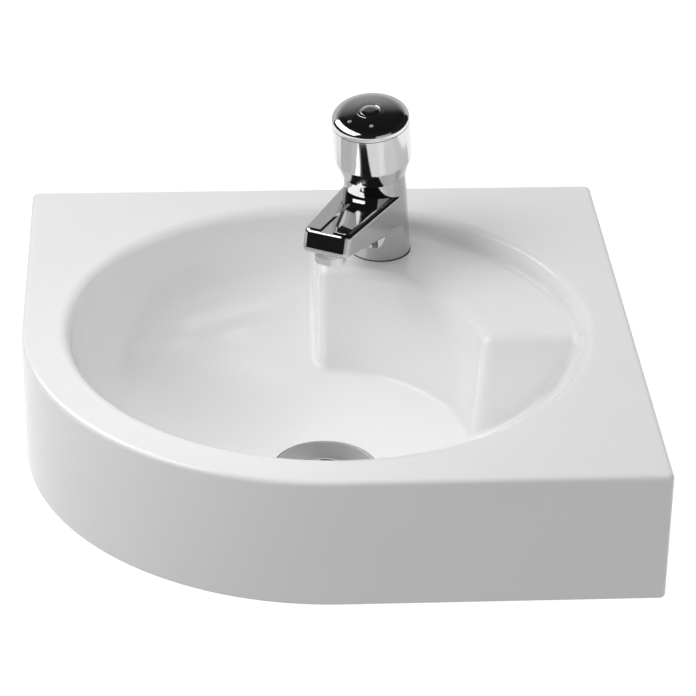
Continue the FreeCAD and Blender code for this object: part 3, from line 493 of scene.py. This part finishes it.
def coil_mesh(name, low, high, radius, thick, turns, around=12, per_turn=36):
    """A helix of round wire about Z, from low to high; thick is half the wire's thickness."""
    shape = bmesh.new()
    rings = []
    steps = turns * per_turn
    for step in range(steps + 1):
        turn = math.tau * turns * step / steps
        outward = Vector((math.cos(turn), math.sin(turn), 0))
        level = low + thick + (high - low - 2 * thick) * step / steps
        centre = outward * radius + Vector((0, 0, level))
        angles = (math.tau * corner / around for corner in range(around))
        rings.append([shape.verts.new(centre + outward * thick * math.cos(a)
                                      + Vector((0, 0, thick * math.sin(a)))) for a in angles])
    for first, second in zip(rings, rings[1:]):
        for corner in range(around):
            following = (corner + 1) % around
            shape.faces.new((first[corner], first[following], second[following], second[corner]))
    shape.faces.new(rings[0])
    shape.faces.new(rings[-1])
    return finished_mesh(name, shape)


# ---- pieces -----------------------------------------------------------------

class BASIN_OT_ceramic(bpy.types.Operator):
    """Glaze the basin"""
    bl_idname = "basin.ceramic"
    bl_label = "Ceramic Basin"

    def execute(self, context):
        dress(glaze(), "ceramic", "basin")
        return {"FINISHED"}


class BASIN_OT_tap_body(bpy.types.Operator):
    """Plate the tap's casting and its seal"""
    bl_idname = "basin.tap_body"
    bl_label = "Tap Body"

    def execute(self, context):
        look = context.scene.basin_chrome
        polished = chrome("tap_chrome", look.plating, look.roughness, patch=0.02)
        dress(polished, "tap_chrome", "tap_body")
        dress(soft_rubber(), "dark_rubber", "tap_base_seal")
        return {"FINISHED"}


class BASIN_OT_lid(bpy.types.Operator):
    """Turn the domed lid with its plug and marks"""
    bl_idname = "basin.lid"
    bl_label = "Lid"

    def execute(self, context):
        look = context.scene.basin_lid
        plated = bpy.data.materials["tap_chrome"]
        knob_piece(turned_mesh("domed_lid", lid_outline(look)), plated, "knob_cap")
        knob_piece(turned_mesh("ringed_plug", plug_outline(look)), plated, "cap_plug")
        marks = moulded_plastic("index_plastic", context.scene.basin_inner.mark, roughness=0.12)
        knob_piece(marks_mesh(look), marks, "index_marks")
        return {"FINISHED"}


class BASIN_OT_knob(bpy.types.Operator):
    """Plate the press knob's sleeve"""
    bl_idname = "basin.knob"
    bl_label = "Press Knob"

    def execute(self, context):
        dress(bpy.data.materials["tap_chrome"], "tap_chrome", "knob_sleeve")
        return {"FINISHED"}


class BASIN_OT_outlet(bpy.types.Operator):
    """Finish the outlet: collar, jet insert and seal"""
    bl_idname = "basin.outlet"
    bl_label = "Outlet"

    def execute(self, context):
        dress(bpy.data.materials["tap_chrome"], "tap_chrome", "aerator_housing")
        plastic = moulded_plastic("inner_plastic", context.scene.basin_inner.plastic, roughness=0.4)
        dress(plastic, "grey_plastic", "aerator_insert", "mixing_cartridge")
        dress(bpy.data.materials["seal_rubber"], "dark_rubber", "aerator_seal", "cartridge_o_rings")
        return {"FINISHED"}


class BASIN_OT_spring(bpy.types.Operator):
    """Wind the knob's return spring"""
    bl_idname = "basin.spring"
    bl_label = "Return Spring"

    def execute(self, context):
        look = context.scene.basin_spring
        place = knob_frame()
        to_column = place.inverted()
        levels = [(to_column @ vertex.co).z for vertex in NODES["return_spring"].data.vertices]
        low, high = min(levels), max(levels)
        mesh = coil_mesh("coil_spring", low, high, look.radius, look.wire, look.turns)
        mesh.transform(place)
        mesh.materials.append(bpy.data.materials["plain_steel"])
        spring = bpy.data.objects.new(mesh.name, mesh)
        context.scene.collection.objects.link(spring)
        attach(spring, "mixer")
        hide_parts("return_spring")
        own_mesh(spring)
        return {"FINISHED"}


class BASIN_OT_fixing(bpy.types.Operator):
    """Finish what holds the tap below the ledge and what works inside it"""
    bl_idname = "basin.fixing"
    bl_label = "Fixing and Inner Parts"

    def execute(self, context):
        look = context.scene.basin_inner
        brass = turned_metal("turned_brass", look.brass, roughness=0.22)
        steel = turned_metal("plain_steel", look.steel, roughness=0.25)
        dress(brass, "raw_brass", "fixing_shank", "shank_nut", "cartridge_ring_nut", "mixing_sleeve")
        dress(steel, "plain_steel", "shank_metal_washer", "knob_stem", "knob_screw")
        dress(bpy.data.materials["seal_rubber"], "dark_rubber", "shank_rubber_washer")
        return {"FINISHED"}


class BASIN_OT_waste(bpy.types.Operator):
    """Finish the strainer waste and its seals"""
    bl_idname = "basin.waste"
    bl_label = "Waste"

    def execute(self, context):
        look = context.scene.basin_chrome
        brushed = chrome("waste_chrome", look.waste, look.waste_roughness, patch=0.008)
        dress(brushed, "waste_chrome", "waste_flange", "waste_screw")
        tail = chrome("tail_chrome", look.plating, look.waste_roughness / 2, patch=0.008)
        dress(tail, "waste_chrome", "waste_body")
        dress(bpy.data.materials["seal_rubber"], "dark_rubber", "waste_top_seal", "waste_gasket")
        return {"FINISHED"}


# ---- stage ------------------------------------------------------------------

def sheet_mesh(name, width, depth, place, towards, material):
    """A flat sheet that faces a point."""
    mesh = bpy.data.meshes.new(name)
    shape = bmesh.new()
    bmesh.ops.create_grid(shape, x_segments=1, y_segments=1, size=0.5)
    bmesh.ops.scale(shape, vec=(width, depth, 1), verts=shape.verts)
    shape.to_mesh(mesh)
    shape.free()
    sheet = bpy.data.objects.new(name, mesh)
    bpy.context.scene.collection.objects.link(sheet)
    direction = Vector(towards) - Vector(place)
    sheet.matrix_world = Matrix.Translation(place) @ direction.to_track_quat("Z", "Y").to_matrix().to_4x4()
    mesh.materials.append(material)
    return sheet


def glow_material(name, low, high):
    """Emission that changes evenly from a sheet's lower edge to its upper edge."""
    material = bpy.data.materials.new(name)
    material.use_nodes = True
    tree = material.node_tree
    tree.nodes.clear()
    place = tree.nodes.new("ShaderNodeTexCoord")
    split = tree.nodes.new("ShaderNodeSeparateXYZ")
    wire(tree, place, "Generated", split, "Vector")
    level = shader_node(tree, "ShaderNodeMapRange", To_Min=low, To_Max=high)
    wire(tree, split, "Y", level, "Value")
    glow = shader_node(tree, "ShaderNodeEmission", Color=(1, 1, 1, 1))
    wire(tree, level, "Result", glow, "Strength")
    result = tree.nodes.new("ShaderNodeOutputMaterial")
    wire(tree, glow, "Emission", result, "Surface")
    return material


def reflection_card(name, low, high, width, depth, place, towards):
    """A sheet that only shows as a reflection in the chrome and the glaze."""
    card = sheet_mesh(name, width, depth, place, towards, glow_material(name, low, high))
    card.visible_camera = False
    card.visible_diffuse = False
    card.visible_shadow = False
    card.visible_transmission = False
    return card


def wall_card(name, low, high, width, depth, place):
    """A reflection card that stands upright and faces the middle of the room."""
    return reflection_card(name, low, high, width, depth, place, (*ROOM_MIDDLE, place[2]))


def area_light(name, power, place, towards):
    """A large square light."""
    lamp = bpy.data.lights.new(name, "AREA")
    lamp.shape = "SQUARE"
    lamp.size = LAMP_SIDE
    return hung_light(lamp, power, place, towards)


def narrow_light(name, power, cone, place, towards):
    """A soft-edged cone of light."""
    lamp = bpy.data.lights.new(name, "SPOT")
    lamp.spot_size = cone
    lamp.spot_blend = 1.0
    lamp.shadow_soft_size = BOWL_LAMP_RADIUS
    return hung_light(lamp, power, place, towards)


def hung_light(lamp, power, place, towards):
    """Hang a lamp, aim it, and keep it out of the reflections, which the cards give."""
    lamp.energy = power
    holder = bpy.data.objects.new(lamp.name, lamp)
    direction = Vector(towards) - Vector(place)
    holder.matrix_world = Matrix.Translation(place) @ direction.to_track_quat("-Z", "Y").to_matrix().to_4x4()
    holder.visible_glossy = False
    bpy.context.scene.collection.objects.link(holder)
    return holder


def direct_view_mask(tree):
    """1 for the camera, glossy and transmission rays, 0 for the rays that light the object."""
    path = tree.nodes.new("ShaderNodeLightPath")
    either = math_node(tree, "MAXIMUM")
    wire(tree, path, "Is Camera Ray", either, 0)
    wire(tree, path, "Is Glossy Ray", either, 1)
    any_of_three = math_node(tree, "MAXIMUM")
    wire(tree, either, "Value", any_of_three, 0)
    wire(tree, path, "Is Transmission Ray", any_of_three, 1)
    return any_of_three


def make_world(look):
    """White where the camera or a reflection sees it, and an even weaker light on the object."""
    world = bpy.data.worlds.new("studio")
    bpy.context.scene.world = world
    world.use_nodes = True
    tree = world.node_tree
    tree.nodes.clear()
    even = shader_node(tree, "ShaderNodeBackground", Color=(1, 1, 1, 1), Strength=look.ambient)
    white = shader_node(tree, "ShaderNodeBackground", Color=(1, 1, 1, 1), Strength=1.0)
    mix = tree.nodes.new("ShaderNodeMixShader")
    wire(tree, direct_view_mask(tree), "Value", mix, "Fac")
    wire(tree, even, "Background", mix, 1)
    wire(tree, white, "Background", mix, 2)
    result = tree.nodes.new("ShaderNodeOutputWorld")
    wire(tree, mix, "Shader", result, "Surface")


def make_floor(look):
    """A pale floor at the level that the wall-hung basin really has below it."""
    material, tree, surface = new_surface("pale_floor", (0.48, 0.48, 0.48))
    vary_roughness(tree, surface, low=0.75, high=0.85, patch=0.3)
    surface.inputs["Emission Color"].default_value = (1, 1, 1, 1)
    level = math_node(tree, "MULTIPLY")
    level.inputs[1].default_value = look.floor_glow
    wire(tree, direct_view_mask(tree), "Value", level, 0)
    wire(tree, level, "Value", surface, "Emission Strength")
    sheet_mesh("floor", FLOOR_SIDE, FLOOR_SIDE, (0, 0, look.floor_level), (0, 0, 0), material)


def make_camera(look):
    """The camera at the photo's viewing angle."""
    ahead = Vector((math.sin(look.heading) * math.cos(look.dip),
                    math.cos(look.heading) * math.cos(look.dip), -math.sin(look.dip)))
    level = Vector((math.cos(look.heading), -math.sin(look.heading), 0))
    upright = level.cross(ahead)
    right = math.cos(look.tilt) * level + math.sin(look.tilt) * upright
    up = -math.sin(look.tilt) * level + math.cos(look.tilt) * upright
    camera = bpy.data.cameras.new("camera")
    camera.lens = look.lens
    camera.clip_start = 0.05     # metres
    holder = bpy.data.objects.new("camera", camera)
    turn = Matrix((right, up, -ahead)).transposed().to_4x4()
    holder.matrix_world = Matrix.Translation(Vector(look.camera_place)) @ turn
    bpy.context.scene.collection.objects.link(holder)
    bpy.context.scene.camera = holder


def hang_cards():
    """Dark walls and ceiling, grey cards and a bright softbox, as the photo's chrome shows them.

    Each card has its strength at the lower and the upper edge, its width and height, and its place.
    """
    reflection_card("dark_ceiling", 0.01, 0.01, 9.0, 9.0, (*ROOM_MIDDLE, 3.4), (*ROOM_MIDDLE, 0))
    wall_card("grey_back", 0.55, 0.55, 9.0, 2.6, (-0.2, 3.1, 0.45))
    wall_card("fading_back", 0.55, 0.02, 9.0, 1.7, (-0.2, 3.1, 2.6))
    wall_card("dark_front", DARK, DARK, 9.0, 3.8, (-0.2, -3.3, 1.5))
    wall_card("dark_left", DARK, DARK, 7.0, 3.8, (-3.6, -0.1, 1.5))
    wall_card("dark_right", DARK, DARK, 7.0, 3.8, (3.2, -0.1, 1.5))
    wall_card("grey_front", 0.5, 0.4, 2.8, 1.6, (1.25, -2.8, 0.3))
    reflection_card("softbox", 2.4, 2.4, 2.1, 0.95, (-1.32, -0.1, 0.95), (-0.15, -0.1, 0.1))


class BASIN_OT_stage(bpy.types.Operator):
    """Build the floor, lights, reflection cards and camera"""
    bl_idname = "basin.stage"
    bl_label = "Stage"

    def execute(self, context):
        look = context.scene.basin_stage
        context.scene.view_settings.view_transform = "Standard"
        make_world(look)
        make_floor(look)
        make_camera(look)
        area_light("key", look.key, (-1.08, -0.22, 1.0), BOWL_MIDDLE)
        area_light("fill", look.fill, (0.6, 0.25, 1.2), BOWL_MIDDLE)
        narrow_light("bowl_light", look.bowl, BOWL_CONE, (-0.62, -0.85, 1.0), BOWL_AIM)
        hang_cards()
        return {"FINISHED"}


class BASIN_PT_sidebar(bpy.types.Panel):
    """The basin's pieces and their finishes"""
    bl_label = "Corner Basin"
    bl_idname = "BASIN_PT_sidebar"
    bl_space_type = "VIEW_3D"
    bl_region_type = "UI"
    bl_category = "Basin"

    def draw(self, context):
        for name, group in SETTINGS.items():
            column = self.layout.column()
            column.label(text=group.__doc__)
            for field in group.__annotations__:
                column.prop(getattr(context.scene, name), field)
        for operator in OPERATORS:
            self.layout.operator(operator.bl_idname)


# In this order, because later ones use finishes that earlier ones make.
OPERATORS = (
    BASIN_OT_ceramic,
    BASIN_OT_tap_body,
    BASIN_OT_knob,
    BASIN_OT_lid,
    BASIN_OT_outlet,
    BASIN_OT_fixing,
    BASIN_OT_spring,
    BASIN_OT_waste,
    BASIN_OT_stage,
)
CLASSES = (*SETTINGS.values(), *OPERATORS, BASIN_PT_sidebar)


def register():
    for item in CLASSES:
        bpy.utils.register_class(item)
    for name, group in SETTINGS.items():
        setattr(bpy.types.Scene, name, PointerProperty(type=group))


def unregister():
    for name in SETTINGS:
        delattr(bpy.types.Scene, name)
    for item in reversed(CLASSES):
        bpy.utils.unregister_class(item)


def main():
    register()
    for operator in OPERATORS:
        group, name = operator.bl_idname.split(".")
        getattr(getattr(bpy.ops, group), name)()


if __name__ == "__main__":
    main()
